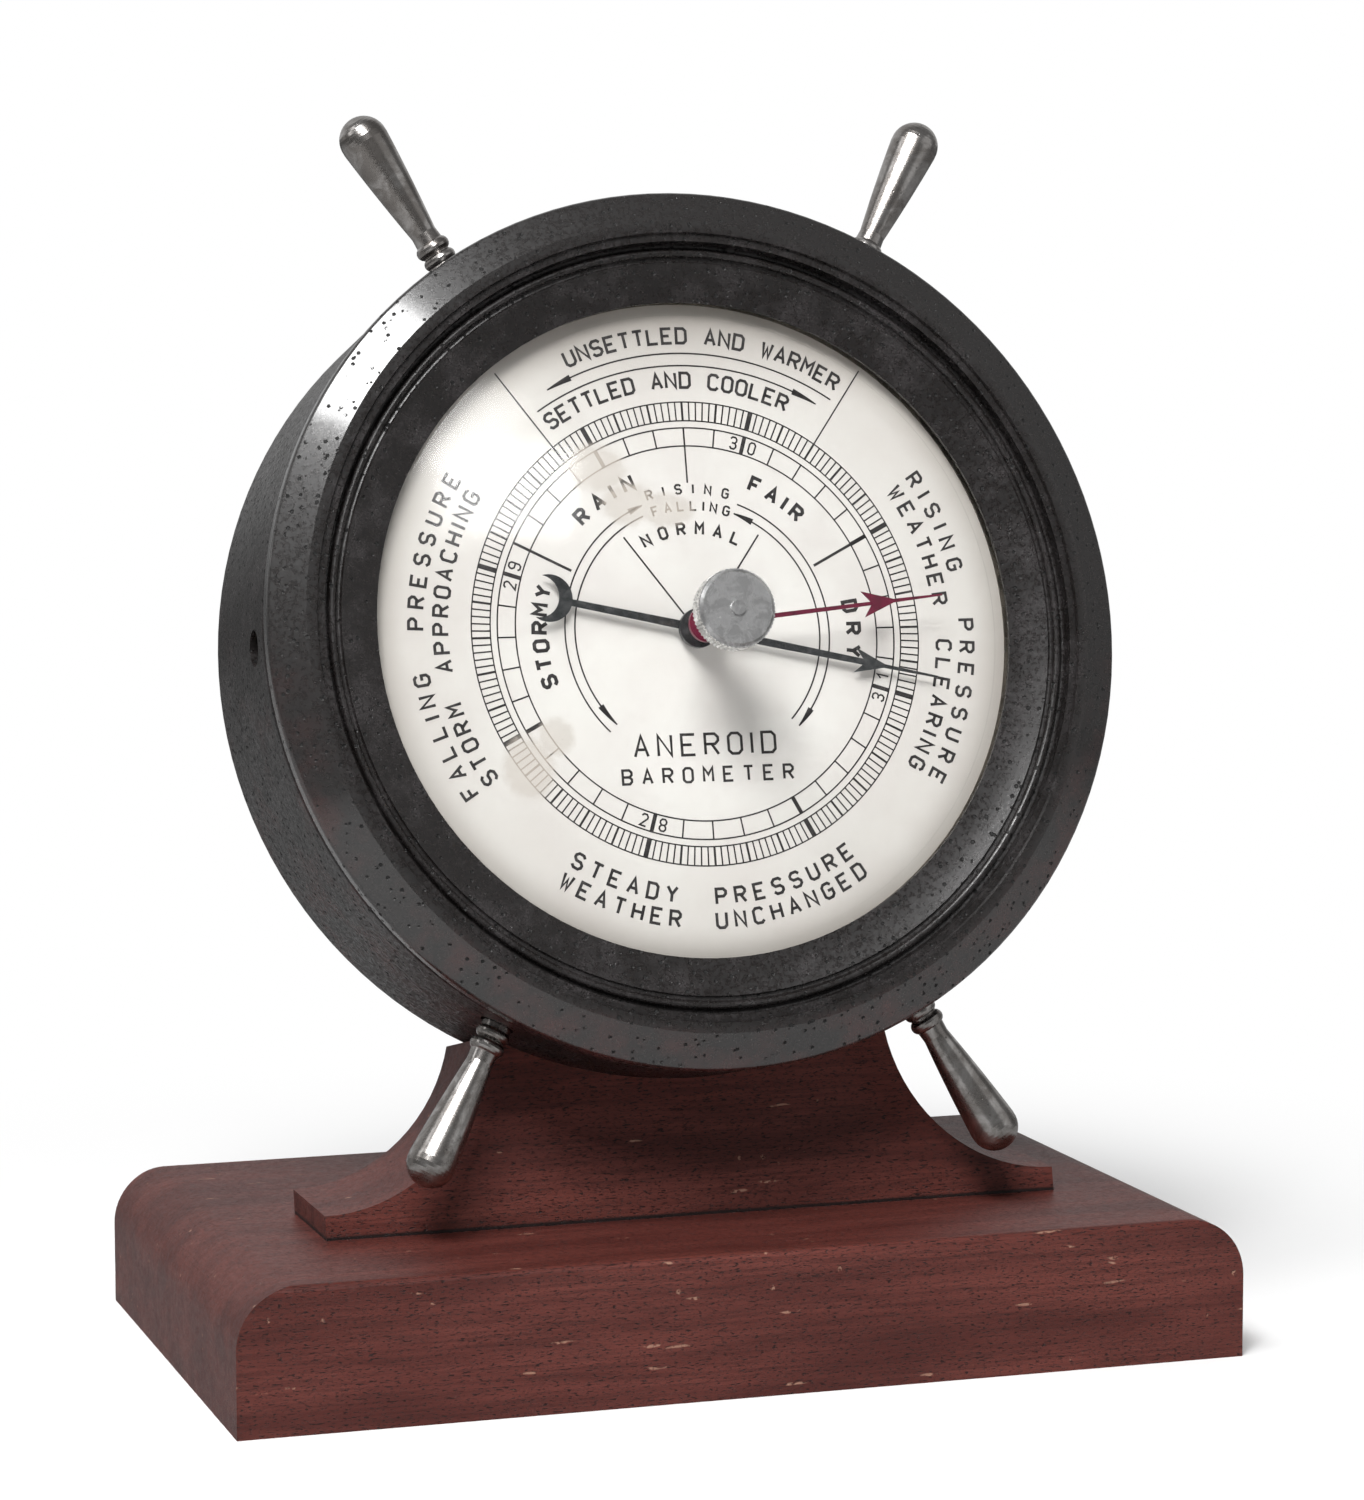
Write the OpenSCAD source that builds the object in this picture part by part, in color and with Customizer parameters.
// Ship's-wheel aneroid barometer lying back in a wooden cradle on a base block.
// Millimetres, +Z up, front towards -Y. The origin is the middle of the base's underside.
// The instrument is drawn in its own frame: its axis is Z, pointing out through the glass,
// Y runs up the dial, and z = 0 is the back of the case. in_cradle() puts it in place.
// The movement is drawn with its capsule towards -Y and turned half round by in_movement().

/* [Base] */
// Width of the base block
base_w = 156.6; // [150:0.1:200]
// Depth of the base block, front to back
base_d = 91.5; // [88:0.1:120]
// Thickness of the base block
base_t = 21.7; // [18:0.1:30]
// Radius of the rounded ends of the base block
base_round = 9; // [4:0.5:12]
// Distance from the base's front face to the foot of the cradle
cradle_setback = 27.3; // [24:0.1:34]

/* [Cradle] */
// Angle the instrument leans back
lean = 13.3; // [10:0.1:16]
// Thickness of the cradle board
board_t = 20.3; // [18:0.1:24]
// Half the length of the cradle's foot
foot_half = 58.5; // [57:0.1:64]
// Height of the square end of the foot
foot_t = 3.6; // [2:0.1:5]
// Radius of the hollow on each side of the cradle
hollow_r = 26.5; // [25:0.1:26.5]
// Height of the cradle's two horns, along the slope
horn_h = 29; // [26:0.1:29]

/* [Case] */
// Distance up the slope to the instrument's axis
axis_up = 87.6; // [87:0.1:89]
// How far the case reaches back past the cradle's front face
case_sink = 16.6; // [14:0.1:18]
// Radius of the opening over the dial
opening_r = 50; // [49.5:0.1:50.5]
// Radius of the case
case_r = 66.5; // [66.3:0.1:66.8]
// Depth of the case, behind the front ring
case_t = 35.7; // [35:0.1:37]
// Depth of the front ring
ring_t = 6; // [5.6:0.1:6.6]
// Outer radius of the front ring
ring_r = 66.8; // [66:0.1:67]

/* [Handles] */
// Length of a handle outside the case
handle_l = 26.3; // [22:0.1:30]
// Radius of the ball end of a handle
ball_r = 3.75; // [3:0.05:4.5]

/* [Dial] */
// Pressure shown, in inches of mercury
reading = 30.94; // [28:0.01:31.5]
// Pressure marked by the set hand, in inches of mercury
set_reading = 30.74; // [28:0.01:31.5]
// Angle the dial is turned in the case
dial_turn = 0; // [-3:0.5:3]

/* [Hidden] */
$fn = 96;
eps = 0.01;

// Cradle and its place on the base
cradle_y = cradle_setback - base_d / 2;
board_run = board_t / cos(lean);
cradle_gap = 0.05;
felt_t = 1;
felt_margin = 5;

// Screws from the base up into the cradle, and from the cradle up into the case
pedestal_screw_x = 12;
pedestal_screw_y = cradle_y + 16;
pedestal_screw_r = 2.2;
pedestal_screw_l = 28;
pedestal_head_r = 4.2;
pedestal_head_z = 8;
case_screw_angle = 17;
case_screw_r = 2;
case_screw_l = 24;
case_screw_z = 6.2;
case_head_r = 3.8;
case_head_reach = 80;

// Stack of parts inside the case, from the back
back_wall = 12;
plate_t = 1.2;
plate_z = back_wall;
capsule_z = plate_z + 2.2;
capsule_t = 5;
rock_z = plate_z + 9.9;
bridge_z = plate_z + 10.9;
bridge_t = 1;
sector_z = plate_z + 13.5;
sector_t = 0.8;
top_z = plate_z + 15.6;
top_t = 1;
dial_face = case_t - 0.7;
rebate_z = dial_face - 2.5;
dial_t = 0.5;
gasket_t = 0.3;
lens_edge_z = dial_face + gasket_t;
lens_edge_t = 1.8;
lip_z = lens_edge_z + lens_edge_t;
ring_front = case_t + ring_t;
hand_z = dial_face + 1.4;
set_hand_z = dial_face + 5.3;
hand_t = 0.3;

// Case
cavity_r = opening_r;
seat_r = opening_r + 2;
edge_r = seat_r - 0.2;
handle_pitch = 60;
socket_z = case_t - 7.6;
socket_r = 2.75;
socket_depth = 8;
insert_l = 6;
stud_r = 1.5;
ring_screw_pcd = 59;
ring_screw_r = 1.6;
ring_head_r = 3.1;
ring_head_z = 3;
screw_gap = 0.2;

// Lens
lens_rise = 13;
lens_t = 2;
lens_ball = (opening_r * opening_r + lens_rise * lens_rise) / (2 * lens_rise);
lens_top = lip_z + lens_rise;
bushing_r = 2.4;
nut_t = 1.1;
spindle_r = 1.1;

// Knob
knob_r = 6;
knob_t = 3.4;
knob_front = dial_face + 20.6;
knurls = 60;
spindle_in_knob = 5.9;

// Gear train: the sector is one wheel with only the teeth that it needs
gear_m = 0.3;
pinion_teeth = 12;
sector_teeth = 120;
pressure_angle = 20;
gear_backlash = 0.03;
pinion_pitch = gear_m * pinion_teeth / 2;
sector_pitch = gear_m * sector_teeth / 2;
centre_gap = pinion_pitch + sector_pitch;
sector_span = 8;

// Levers
tail_l = 2.5;
rock_l = 4;
crank_l = 2.6;
crank_y = -28;
crank_ball = 0.5;
tip_r = 0.45;
pivot_gap = 0.03;

// Where the train stands at the pressure shown
scale_mid = 29.75;
hand_per_inch = 90;
dial_zero = 29.8;
train_turn = (reading - scale_mid) * hand_per_inch;
sector_turn = train_turn * pinion_teeth / sector_teeth;
rock_turn = sector_turn * tail_l / rock_l;
post_drop = crank_l * rock_turn * PI / 180;
hand_turn = dial_turn + (reading - dial_zero) * hand_per_inch;
set_turn = dial_turn + (set_reading - dial_zero) * hand_per_inch;

// Capsule
capsule_r = 17;
capsule_wall = 0.3;
corrugations = 4;
capsule_x = crank_l;
capsule_dish = capsule_t / 2 - 0.9;
capsule_face = capsule_dish + capsule_wall;
capsule_back_z = capsule_z + capsule_t / 2 - capsule_face;
capsule_front_z = capsule_z + capsule_t / 2 + capsule_face;

// The post's top is level with the crank's ball at the pressure shown
post_top = rock_z - crank_ball - 0.05 - post_drop;

// Fixings
pillar_r = 2;
rivet_r = 1.1;
small_screw_r = 0.8;
movement_screw_pcd = 44;
movement_screw_r = 1.5;
movement_head_z = 2.2;
adjuster_r = 1.2;
adjuster_z = plate_z - 1.4;
adjuster_hole_r = 3.2;
arbor_r = 0.6;
fine_pivot_r = 0.35;
pillar_spots = [[-22, 6], [22, 6], [-20, -33], [24, -33]];
upper_spots = [[-12, 4], [12, 4], [0, -32]];

// Hairspring, a flat spiral from the collet to the stud
spring_turns = 5;
spring_r = 1.45;
spring_pitch = 0.75;
spring_t = 0.16;
spring_z = bridge_z + bridge_t + 0.35;

// Colours
wood_c = "#6b3029";
case_c = "#2a2423";
metal_c = "#9c958c";
brass_c = "#b5974f";
steel_c = "#8f9296";

// ---------- helpers ----------

module in_cradle() {
    translate([0, cradle_y, base_t])
        rotate([90 - lean, 0, 0])
            translate([0, axis_up, -case_sink])
                children();
}

module in_movement() {
    in_cradle() rotate(180) children();
}

// Points on an arc, from angle a0 to a1
function arc(cx, cy, r, a0, a1, n = 12) =
    [for (i = [0:n]) let (a = a0 + (a1 - a0) * i / n) [cx + r * cos(a), cy + r * sin(a)]];

module tube(r_out, r_in, h) {
    difference() {
        cylinder(r = r_out, h = h);
        translate([0, 0, -1]) cylinder(r = r_in, h = h + 2);
    }
}

// Screw with a slotted cheese head. z = 0 is under the head, which is below; the shank points up.
module screw(r, length, head_r, head_t) {
    slot = head_t / 2;
    difference() {
        translate([0, 0, -head_t]) cylinder(r = head_r, h = head_t);
        translate([-head_r - 1, -head_r / 7, -head_t - 1]) cube([2 * head_r + 2, head_r / 3.5, slot + 1]);
    }
    cylinder(r = r, h = length);
}

function involute(a) = tan(a) * 180 / PI - a;

// Half the angle that a tooth fills at radius r
function tooth_half(teeth, pitch_r, r) =
    90 / teeth - gear_backlash / pitch_r * 90 / PI
    + involute(pressure_angle) - involute(acos(min(1, pitch_r * cos(pressure_angle) / r)));

// Outline of one involute tooth centred on angle a, from root to root
function tooth(teeth, pitch_r, a) =
    let (base_r = pitch_r * cos(pressure_angle),
         tip = pitch_r + 0.9 * gear_m,
         root = pitch_r - 1.25 * gear_m,
         start = max(base_r, root),
         flank = [for (i = [0:4]) start + (tip - start) * i / 4],
         up = concat([[root, tooth_half(teeth, pitch_r, start)]],
                     [for (r = flank) [r, tooth_half(teeth, pitch_r, r)]]),
         n = len(up) - 1)
    concat([for (p = up) [p[0] * cos(a - p[1]), p[0] * sin(a - p[1])]],
           [for (i = [n:-1:0]) [up[i][0] * cos(a + up[i][1]), up[i][0] * sin(a + up[i][1])]]);

// ---------- stand ----------

// Block profile with two rounded top corners, standing on y = 0
function block_outline(w, h, r, n) =
    concat([[-w / 2, 0], [w / 2, 0]],
           arc(w / 2 - r, h - r, r, 0, 90, n),
           arc(r - w / 2, h - r, r, 90, 180, n));

module base_block() {
    color(wood_c)
    difference() {
        intersection() {
            rotate([90, 0, 0])
                linear_extrude(base_d, center = true)
                    polygon(block_outline(base_w, base_t, base_round, 16));
            rotate([90, 0, 90])
                linear_extrude(base_w + 2, center = true)
                    polygon(block_outline(base_d, base_t, 1.2, 5));
        }
        translate([felt_margin - base_w / 2, felt_margin - base_d / 2, -1])
            cube([base_w - 2 * felt_margin, base_d - 2 * felt_margin, felt_t + 1]);
        for (side = [-1, 1])
            translate([side * pedestal_screw_x, pedestal_screw_y, 0]) {
                cylinder(r = pedestal_head_r + 0.3, h = pedestal_head_z);
                cylinder(r = pedestal_screw_r, h = base_t + 1);
            }
    }
}

module base_felt() {
    color("#33503a")
    translate([felt_margin - base_w / 2 + 0.2, felt_margin - base_d / 2 + 0.2, 0])
        cube([base_w - 2 * felt_margin - 0.4, base_d - 2 * felt_margin - 0.4, felt_t]);
}

// Front view of the cradle board, standing on y = 0, before its horns and saddle are cut
function board_outline() =
    let (c = foot_t + hollow_r)
    concat([[-foot_half, 0], [foot_half, 0]],
           arc(foot_half, c, hollow_r, 270, 180, 20),
           arc(-foot_half, c, hollow_r, 0, -90, 20));

// Turns a screw or a drill to point at the instrument's axis, reach away from it
module towards_axis(side, reach) {
    rotate(side * case_screw_angle - 90)
        translate([reach, 0, case_screw_z])
            rotate([0, -90, 0])
                children();
}

module cradle_board() {
    top = foot_t + hollow_r;
    rise = top * tan(lean);
    color(wood_c)
    difference() {
        translate([0, 0, base_t])
        intersection() {
            rotate([90, 0, 0])
                linear_extrude(4 * top, center = true)
                    polygon(board_outline());
            rotate([90, 0, 90])
                linear_extrude(3 * foot_half, center = true)
                    polygon([[cradle_y, 0], [cradle_y + board_run, 0],
                             [cradle_y + board_run + rise, top], [cradle_y + rise, top]]);
        }
        in_cradle() {
            translate([-foot_half, horn_h - axis_up, -board_t])
                cube([2 * foot_half, case_r, 3 * board_t]);
            translate([0, 0, -board_t])
                cylinder(r = case_r + cradle_gap, h = 3 * board_t, $fn = 180);
            for (side = [-1, 1]) {
                towards_axis(side, case_head_reach) cylinder(r = case_screw_r, h = case_screw_l);
                towards_axis(side, case_head_reach + 20) cylinder(r = case_head_r + 0.4, h = 20);
            }
        }
        for (side = [-1, 1])
            translate([side * pedestal_screw_x, pedestal_screw_y, base_t - 1])
                cylinder(r = pedestal_screw_r, h = pedestal_head_z + pedestal_screw_l - base_t + 1);
    }
}

module pedestal_screws() {
    color(steel_c)
    for (side = [-1, 1])
        translate([side * pedestal_screw_x, pedestal_screw_y, pedestal_head_z])
            screw(pedestal_screw_r, pedestal_screw_l, pedestal_head_r, 3);
}

// ---------- case ----------

module case_screws() {
    color(steel_c)
    in_cradle()
        for (side = [-1, 1])
            towards_axis(side, case_head_reach)
                screw(case_screw_r, case_screw_l, case_head_r, 2.6);
}

// Angles of the six sockets, from +X
function socket_angle(i) = i * handle_pitch;

module case_body() {
    back_round = 2.5;
    front_round = 1.5;
    color(case_c)
    in_cradle()
    difference() {
        rotate_extrude($fn = 180)
            polygon(concat([[0, 0]],
                arc(case_r - back_round, back_round, back_round, -90, 0),
                arc(case_r - front_round, case_t - front_round - 0.2, front_round, 0, 80),
                [[ring_r - 2, case_t], [0, case_t]]));
        translate([0, 0, back_wall]) cylinder(r = cavity_r, h = case_t, $fn = 180);
        translate([0, 0, rebate_z]) cylinder(r = seat_r, h = case_t, $fn = 180);
        for (i = [0:5])
            rotate(socket_angle(i))
                translate([case_r - socket_depth, 0, socket_z])
                    rotate([0, 90, 0])
                        cylinder(r = socket_r, h = socket_depth + 5, $fn = 48);
        for (side = [-1, 1])
            towards_axis(side, case_head_reach) cylinder(r = case_screw_r, h = case_screw_l);
        for (a = [45:90:315])
            rotate(a)
                translate([ring_screw_pcd, 0, -1]) {
                    cylinder(r = ring_screw_r + screw_gap, h = case_t + 2);
                    cylinder(r = ring_head_r + 0.3, h = ring_head_z + 1);
                }
        for (a = [30:120:270])
            rotate(a)
                translate([movement_screw_pcd, 0, -1]) {
                    cylinder(r = movement_screw_r + screw_gap, h = back_wall + 2);
                    cylinder(r = 3.3, h = movement_head_z + 1);
                }
        rotate(180)
            translate([capsule_x, crank_y, -1])
                cylinder(r = adjuster_hole_r, h = back_wall + 2);
    }
}

// Section of the front ring: the hollow beside the opening, two grooves with a bead between
// them, a step up to the crest, and the sloping shoulder. The grooves and the bead are half rounds.
function ring_outline() =
    let (front = ring_front,
         back_r = 1,
         corner_r = 0.9,
         groove_r = 0.45,
         bead_r = 0.55,
         bead = opening_r + 7.2,
         level = lip_z + 2.2,
         step = opening_r + 9.7,
         step_z = front - 0.6,
         crest = opening_r + 11.5,
         hollow = bead - bead_r - 2 * groove_r)
    concat(
        [[seat_r, case_t], [ring_r - back_r, case_t]],
        arc(ring_r - back_r, case_t + back_r + 0.1, back_r, -75, 0, 6),
        arc(ring_r - corner_r, lip_z + 1.2, corner_r, 0, 66, 6),
        [[crest, front], [step + 0.2, front], [step, step_z], [bead + bead_r + 2 * groove_r, step_z]],
        arc(bead + bead_r + groove_r, level, groove_r, 0, -180, 6),
        arc(bead, level, bead_r, 0, 180, 8),
        arc(bead - bead_r - groove_r, level, groove_r, 0, -180, 6),
        [for (i = [0:8]) let (t = i / 8)
            [hollow + (opening_r - hollow) * t, level + (lip_z + 0.6 - level) * t - 0.12 * sin(180 * t)]],
        [[opening_r, lip_z], [seat_r, lip_z]]);

module front_ring() {
    color(case_c)
    in_cradle()
    difference() {
        rotate_extrude($fn = 180) polygon(ring_outline());
        for (a = [45:90:315])
            rotate(a)
                translate([ring_screw_pcd, 0, case_t - 1])
                    cylinder(r = ring_screw_r, h = 3.8);
    }
}

module ring_screws() {
    color(steel_c)
    in_cradle()
        for (a = [45:90:315])
            rotate(a)
                translate([ring_screw_pcd, 0, ring_head_z])
                    screw(ring_screw_r, case_t + 2.5 - ring_head_z, ring_head_r, 2);
}

module socket_inserts() {
    color(brass_c)
    in_cradle()
        for (i = [0:5])
            rotate(socket_angle(i))
                translate([case_r - socket_depth, 0, socket_z])
                    rotate([0, 90, 0])
                        tube(socket_r, stud_r, insert_l);
}

// Turned handle along +X, with x = 0 at the case
function handle_outline() =
    let (neck_x = 5.9, neck_r = 2, ball_x = handle_l - ball_r, grip = ball_x - neck_x)
    concat(
        [[-insert_l, 0], [-insert_l, stud_r], [-1.5, stud_r], [-1.5, 2.3], [0.3, 2.3]],
        arc(1.3, 1.6, 1, 135, 30, 6),
        arc(3.3, 1.55, 1.15, 150, 30, 6),
        [for (i = [0:12]) let (t = i / 12)
            [neck_x + grip * t * 0.97, neck_r + (ball_r - neck_r) * t * (1.25 - 0.25 * t)]],
        arc(ball_x, 0, ball_r, 84, 0, 10));

module handle(angle) {
    seat = 0.25;
    color(metal_c)
    in_cradle()
        rotate(angle)
            translate([case_r + seat, 0, socket_z])
                rotate([0, 90, 0])
                    rotate_extrude($fn = 64)
                        polygon([for (p = handle_outline()) [p[1], p[0]]]);
}

module handle_top_left() handle(120);
module handle_top_right() handle(60);
module handle_bottom_right() handle(-60);
module handle_bottom_left() handle(-120);

// ---------- glass and dial ----------

module lens() {
    color("lightcyan", 0.4)
    in_cradle()
    difference() {
        union() {
            translate([0, 0, lens_edge_z]) cylinder(r = edge_r, h = lens_edge_t, $fn = 180);
            intersection() {
                translate([0, 0, lens_top - lens_ball]) sphere(r = lens_ball, $fn = 360);
                translate([0, 0, lens_edge_z]) cylinder(r = opening_r - 0.3, h = 20, $fn = 180);
            }
        }
        intersection() {
            translate([0, 0, lens_top - lens_ball]) sphere(r = lens_ball - lens_t, $fn = 360);
            translate([0, 0, lens_edge_z - 1]) cylinder(r = opening_r - 1.5, h = 30, $fn = 180);
        }
        translate([0, 0, lens_edge_z]) cylinder(r = bushing_r, h = 20, $fn = 48);
    }
}

module lens_gasket() {
    color("#4a4038")
    in_cradle() translate([0, 0, dial_face]) tube(edge_r, opening_r + 0.2, gasket_t);
}

module dial_spacer() {
    color(steel_c)
    in_cradle() translate([0, 0, rebate_z]) tube(edge_r, cavity_r + 0.2, dial_face - dial_t - rebate_z);
}

module dial() {
    color("#ece6da")
    in_cradle() translate([0, 0, dial_face - dial_t]) tube(edge_r, 1.6, dial_t);
}

module lens_bushing() {
    color(brass_c)
    in_cradle() {
        translate([0, 0, lens_top - 4.4]) tube(bushing_r, spindle_r + pivot_gap, 5);
        translate([0, 0, lens_top + 0.02]) tube(3.4, bushing_r, 0.58);
    }
}

module bushing_nut() {
    color(brass_c)
    in_cradle()
        translate([0, 0, lens_top - lens_t - nut_t - 0.07])
            difference() {
                cylinder(r = 3.8, h = nut_t, $fn = 6);
                translate([0, 0, -1]) cylinder(r = bushing_r, h = 4, $fn = 48);
            }
}

// ---------- set hand ----------

module set_knob() {
    knurl = 0.18;
    chamfer = 0.5;
    collar_r = 2.8;
    collar_z = lens_top + 0.9;
    face_r = knob_r - knurl - 0.1;
    color(steel_c)
    in_cradle() rotate(-set_turn)
        difference() {
            union() {
                translate([0, 0, knob_front - knob_t])
                    linear_extrude(knob_t - chamfer)
                        polygon([for (i = [0:2 * knurls - 1])
                            let (r = knob_r - knurl * (i % 2), a = 180 * i / knurls)
                            [r * cos(a), r * sin(a)]]);
                translate([0, 0, knob_front - chamfer]) cylinder(r1 = face_r, r2 = face_r - 0.4, h = chamfer);
                translate([0, 0, collar_z]) cylinder(r = collar_r, h = knob_front - knob_t - collar_z);
            }
            translate([0, 0, lens_top]) cylinder(r = spindle_r, h = spindle_in_knob, $fn = 48);
        }
}

module set_spindle() {
    color(steel_c)
    in_cradle() rotate(-set_turn)
        translate([0, 0, set_hand_z])
            cylinder(r = spindle_r, h = lens_top + spindle_in_knob - set_hand_z, $fn = 48);
}

// Outline of a hand along +Y: shaft, arrowhead, and the needle beyond it
function needle_outline(shaft, barb_y, barb_half, head_l, tip_y) =
    [[-shaft / 2, 0], [-shaft * 0.35, barb_y + 0.7], [-barb_half, barb_y - 0.6], [-0.28, barb_y + head_l],
     [-0.14, tip_y], [0.14, tip_y], [0.28, barb_y + head_l], [barb_half, barb_y - 0.6],
     [shaft * 0.35, barb_y + 0.7], [shaft / 2, 0]];

module set_hand() {
    color("#6d2138")
    in_cradle() rotate(-set_turn)
        translate([0, 0, set_hand_z])
        difference() {
            union() {
                linear_extrude(hand_t) polygon(needle_outline(0.8, 26, 2, 4.4, 38.4));
                cylinder(r = 2.8, h = 0.8);
            }
            translate([0, 0, -1]) cylinder(r = spindle_r, h = 4, $fn = 48);
        }
}

// ---------- pressure hand and its train ----------

module pressure_hand() {
    moon_r = 3.6;
    moon_y = -23.6;
    color("#3a3d40")
    in_cradle() rotate(-hand_turn)
        translate([0, 0, hand_z])
        difference() {
            union() {
                linear_extrude(hand_t) polygon(needle_outline(1.3, 26, 1.9, 4.2, 39));
                linear_extrude(hand_t)
                    polygon([[-0.65, 0], [0.65, 0], [0.5, moon_y + 3], [-0.5, moon_y + 3]]);
                linear_extrude(hand_t)
                difference() {
                    translate([0, moon_y]) circle(moon_r, $fn = 48);
                    translate([0, moon_y - 1.7]) circle(moon_r - 0.35, $fn = 48);
                }
                translate([0, 0, -0.3]) cylinder(r = 3, h = 1);
            }
            translate([0, 0, -1]) cylinder(r = arbor_r, h = 4, $fn = 48);
        }
}

module hand_arbor() {
    shoulder = bridge_z + bridge_t + 0.1;
    color(steel_c)
    in_cradle() rotate(-hand_turn) {
        translate([0, 0, bridge_z]) cylinder(r = fine_pivot_r, h = shoulder - bridge_z + eps, $fn = 48);
        translate([0, 0, shoulder]) cylinder(r = arbor_r, h = hand_z + 0.6 - shoulder, $fn = 48);
    }
}

module pinion() {
    color(brass_c)
    in_movement() rotate(90 - train_turn)
        translate([0, 0, sector_z - 0.3])
        difference() {
            linear_extrude(sector_t + 0.6)
                polygon([for (i = [0:pinion_teeth - 1])
                    each tooth(pinion_teeth, pinion_pitch, (i + 0.5) * 360 / pinion_teeth)]);
            translate([0, 0, -1]) cylinder(r = arbor_r, h = 4, $fn = 48);
        }
}

// Sector wheel in its own frame: teeth towards +Y, forked tail towards -Y
module sector_shape() {
    rim = sector_pitch - 2.2;
    difference() {
        union() {
            polygon(concat([[0, 0]],
                [for (i = [-sector_span:sector_span])
                    each tooth(sector_teeth, sector_pitch, 90 + i * 360 / sector_teeth)]));
            circle(r = 2.2);
            translate([-1.3, -tail_l - 1.4]) square([2.6, tail_l + 1.4]);
        }
        for (side = [-1, 1])
            polygon([[side * 2, 5], [side * 6.4, rim * 0.86], [side * 1.2, rim]]);
        translate([-tip_r - 0.07, -tail_l - 2]) square([2 * tip_r + 0.14, 2.9]);
    }
}

module sector_gear() {
    color(brass_c)
    in_movement()
        translate([0, -centre_gap, sector_z])
            rotate(sector_turn)
            difference() {
                linear_extrude(sector_t) sector_shape();
                translate([0, 0, -1]) cylinder(r = arbor_r, h = 4, $fn = 48);
            }
}

module sector_arbor() {
    color(steel_c)
    in_movement()
        translate([0, -centre_gap, 0]) {
            translate([0, 0, bridge_z]) cylinder(r = fine_pivot_r, h = top_z + top_t - bridge_z, $fn = 48);
            translate([0, 0, bridge_z + bridge_t + 0.1])
                cylinder(r = arbor_r, h = top_z - bridge_z - bridge_t - 0.2, $fn = 48);
        }
}

function spiral(offset) =
    [for (i = [0:24 * spring_turns])
        let (a = i * 15, r = spring_r + spring_pitch * a / 360 + offset) [r * cos(a), r * sin(a)]];

module hairspring() {
    inner = spiral(0);
    outer = spiral(spring_t);
    color("#4b5a78")
    in_movement()
        translate([0, 0, spring_z])
            linear_extrude(0.6)
                polygon(concat(inner, [for (i = [len(outer) - 1:-1:0]) outer[i]]));
}

module hairspring_collet() {
    color(brass_c)
    in_cradle() rotate(-hand_turn) translate([0, 0, spring_z - 0.1]) tube(1.4, arbor_r, 0.85);
}

module hairspring_stud() {
    stud_x = spring_r + spring_pitch * spring_turns + spring_t + 0.7;
    color(brass_c)
    in_movement() translate([stud_x, 0, bridge_z + bridge_t]) cylinder(r = 0.7, h = 1.3, $fn = 32);
}

// ---------- movement frame ----------

module base_plate() {
    color(brass_c)
    in_cradle()
    difference() {
        translate([0, 0, plate_z]) cylinder(r = cavity_r - 1.5, h = plate_t, $fn = 180);
        for (a = [30:120:270])
            rotate(a) translate([movement_screw_pcd, 0, plate_z - 1]) cylinder(r = movement_screw_r, h = 4);
        rotate(180) {
            for (p = pillar_spots) translate([p[0], p[1], plate_z - 1]) cylinder(r = rivet_r, h = 4);
            translate([capsule_x, crank_y, plate_z - 1])
                cylinder(r = adjuster_r + pivot_gap, h = 4, $fn = 48);
        }
    }
}

module movement_screws() {
    color(steel_c)
    in_cradle()
        for (a = [30:120:270])
            rotate(a)
                translate([movement_screw_pcd, 0, movement_head_z])
                    screw(movement_screw_r, plate_z + plate_t - movement_head_z, 2.8, 1.8);
}

module pillars() {
    color(brass_c)
    in_movement()
        for (p = pillar_spots)
            translate([p[0], p[1], plate_z])
            difference() {
                union() {
                    cylinder(r = rivet_r, h = plate_t + eps);
                    translate([0, 0, plate_t]) cylinder(r = pillar_r, h = bridge_z - plate_z - plate_t);
                }
                translate([0, 0, bridge_z - plate_z - 5]) cylinder(r = small_screw_r, h = 6, $fn = 32);
            }
}

module bridge_plate() {
    color(brass_c)
    in_movement()
    difference() {
        translate([-26, -37, bridge_z]) cube([54, 47, bridge_t]);
        for (p = pillar_spots)
            translate([p[0], p[1], bridge_z - 1]) cylinder(r = small_screw_r + 0.1, h = 4, $fn = 32);
        for (p = upper_spots)
            translate([p[0], p[1], bridge_z - 1]) cylinder(r = rivet_r, h = 4, $fn = 32);
        for (y = [0, -centre_gap])
            translate([0, y, bridge_z - 1]) cylinder(r = fine_pivot_r + pivot_gap, h = 4, $fn = 48);
        translate([-1.7, -centre_gap - tail_l - 0.9, bridge_z - 1]) cube([3.4, 1.8, 4]);
    }
}

// Screw turned over, so that its head is on top of a plate at height z
module screw_down(z, length) {
    translate([0, 0, z]) rotate([180, 0, 0]) screw(small_screw_r, length, 1.5, 0.8);
}

module bridge_screws() {
    color(steel_c)
    in_movement()
        for (p = pillar_spots) translate([p[0], p[1], 0]) screw_down(bridge_z + bridge_t, 5);
}

module upper_pillars() {
    color(brass_c)
    in_movement()
        for (p = upper_spots)
            translate([p[0], p[1], bridge_z])
            difference() {
                union() {
                    cylinder(r = rivet_r, h = bridge_t + eps, $fn = 32);
                    translate([0, 0, bridge_t]) cylinder(r = 1.8, h = top_z - bridge_z - bridge_t, $fn = 48);
                }
                translate([0, 0, top_z - bridge_z - 3]) cylinder(r = small_screw_r, h = 4, $fn = 32);
            }
}

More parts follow.
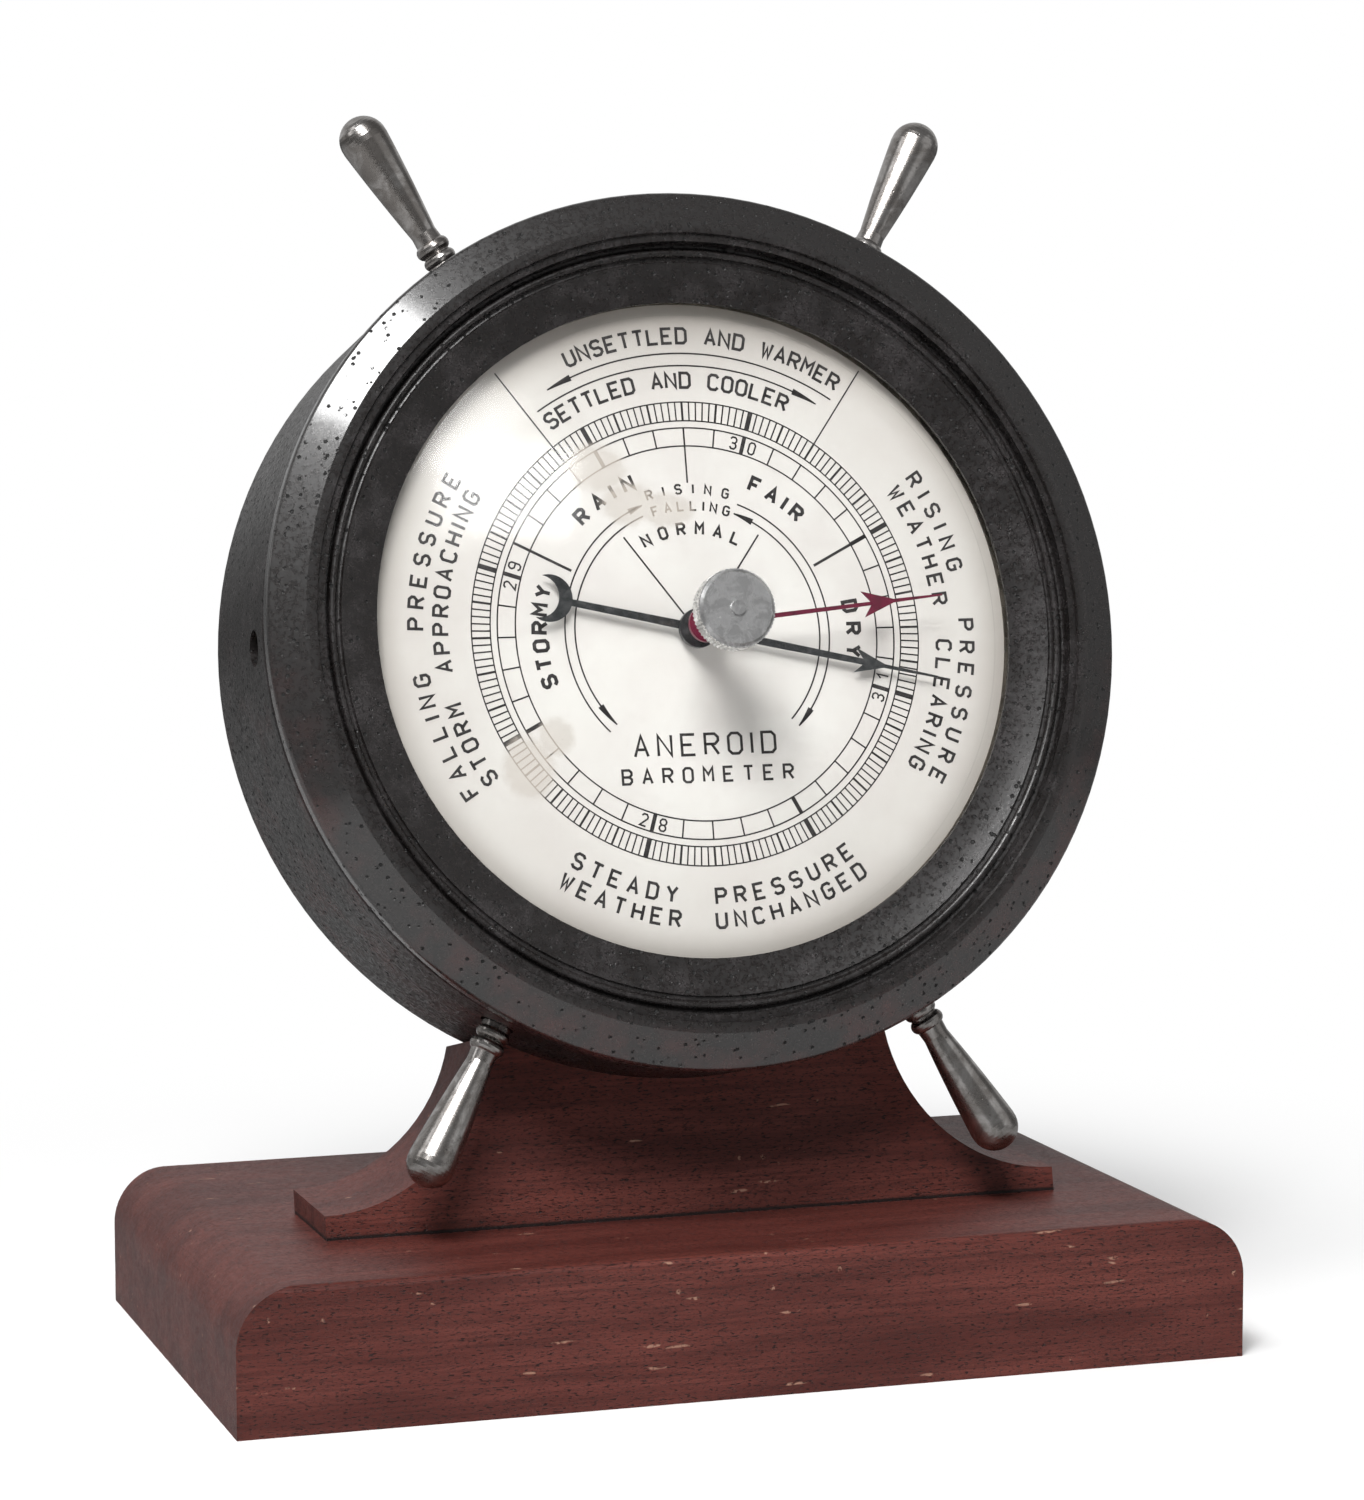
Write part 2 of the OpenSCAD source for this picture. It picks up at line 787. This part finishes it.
module top_plate() {
    color(brass_c)
    in_movement()
    difference() {
        translate([0, 0, top_z])
            linear_extrude(top_t)
                polygon([[-15, 7], [15, 7], [15, 1], [4, -35], [-4, -35], [-15, 1]]);
        for (p = upper_spots)
            translate([p[0], p[1], top_z - 1]) cylinder(r = small_screw_r + 0.1, h = 4, $fn = 32);
        translate([0, 0, top_z - 1]) cylinder(r = arbor_r + pivot_gap, h = 4, $fn = 48);
        translate([0, -centre_gap, top_z - 1]) cylinder(r = fine_pivot_r + pivot_gap, h = 4, $fn = 48);
    }
}

module top_plate_screws() {
    color(steel_c)
    in_movement()
        for (p = upper_spots) translate([p[0], p[1], 0]) screw_down(top_z + top_t, 2.8);
}

// ---------- capsule and levers ----------

// Half of the capsule: a corrugated diaphragm with a flat rim, dished away from z = 0
function diaphragm(side, offset) =
    let (flat_r = 3, rim_r = capsule_r - 1.5, n = 8 * corrugations)
    [for (i = [0:n])
        let (t = i / n, r = flat_r + (rim_r - flat_r) * t)
        [r, side * (capsule_dish * (1 - t) + 0.35 * (1 - cos(360 * corrugations * t)) * (1 - t) + offset)]];

module capsule_half(side) {
    outer = diaphragm(side, capsule_wall);
    inner = diaphragm(side, 0);
    last = len(outer) - 1;
    color(steel_c)
    in_movement()
        translate([capsule_x, crank_y, capsule_z + capsule_t / 2])
            rotate_extrude()
                polygon(concat([[0, outer[0][1]]], outer, [[capsule_r, side * capsule_wall], [capsule_r, 0]],
                    [for (i = [last:-1:0]) inner[i]], [[0, inner[0][1]]]));
}

module capsule_back() capsule_half(-1);
module capsule_front() capsule_half(1);

module capsule_stud() {
    z = plate_z + plate_t;
    color(brass_c)
    in_movement()
        translate([capsule_x, crank_y, z])
            tube(3, adjuster_r + pivot_gap, capsule_back_z - z);
}

module capsule_post() {
    color(brass_c)
    in_movement()
        translate([capsule_x, crank_y, capsule_front_z]) {
            cylinder(r = 2.4, h = 0.8);
            cylinder(r = 1.1, h = post_top - capsule_front_z);
        }
}

// Shaft along Y with its crank towards +X and its arm, ending in a ball, towards +Z
module rocking_shaft() {
    back_y = -34;
    front_y = -centre_gap - 0.4;
    color(steel_c)
    in_movement()
        translate([0, 0, rock_z])
            rotate([0, rock_turn, 0]) {
                translate([0, back_y, 0]) rotate([-90, 0, 0])
                    cylinder(r = 0.7, h = front_y - back_y, $fn = 48);
                translate([0, back_y - 1.4, 0]) rotate([-90, 0, 0])
                    cylinder(r = fine_pivot_r, h = front_y - back_y + 2.8, $fn = 48);
                translate([0, -centre_gap - tail_l, 0]) {
                    cylinder(r = 0.25, h = rock_l, $fn = 32);
                    translate([0, 0, rock_l]) sphere(r = tip_r, $fn = 48);
                }
                translate([0, crank_y - 0.4, -0.25]) cube([crank_l, 0.8, 0.5]);
                translate([crank_l, crank_y, 0]) sphere(r = crank_ball, $fn = 48);
            }
}

module rocking_bearings() {
    color(brass_c)
    in_movement()
        for (y = [-35.5, -centre_gap - 0.1])
            difference() {
                translate([-2.2, y, rock_z - 1.6]) cube([4.4, 1.2, bridge_z - rock_z + 1.6]);
                translate([0, y - 1, rock_z])
                    rotate([-90, 0, 0]) cylinder(r = fine_pivot_r + pivot_gap, h = 4, $fn = 48);
            }
}

module adjusting_screw() {
    color(steel_c)
    in_movement()
        translate([capsule_x, crank_y, adjuster_z])
            screw(adjuster_r, capsule_back_z - 0.05 - adjuster_z, 2.6, 1.6);
}

// ---------- output ----------

base_block();
base_felt();
cradle_board();
pedestal_screws();
case_screws();
case_body();
front_ring();
ring_screws();
lens();
lens_gasket();
dial_spacer();
dial();
socket_inserts();
handle_top_left();
handle_top_right();
handle_bottom_right();
handle_bottom_left();
lens_bushing();
bushing_nut();
set_knob();
set_spindle();
set_hand();
pressure_hand();
hand_arbor();
pinion();
hairspring();
hairspring_collet();
hairspring_stud();
sector_gear();
sector_arbor();
base_plate();
movement_screws();
pillars();
bridge_plate();
bridge_screws();
upper_pillars();
top_plate();
top_plate_screws();
capsule_back();
capsule_front();
capsule_stud();
capsule_post();
rocking_shaft();
rocking_bearings();
adjusting_screw();
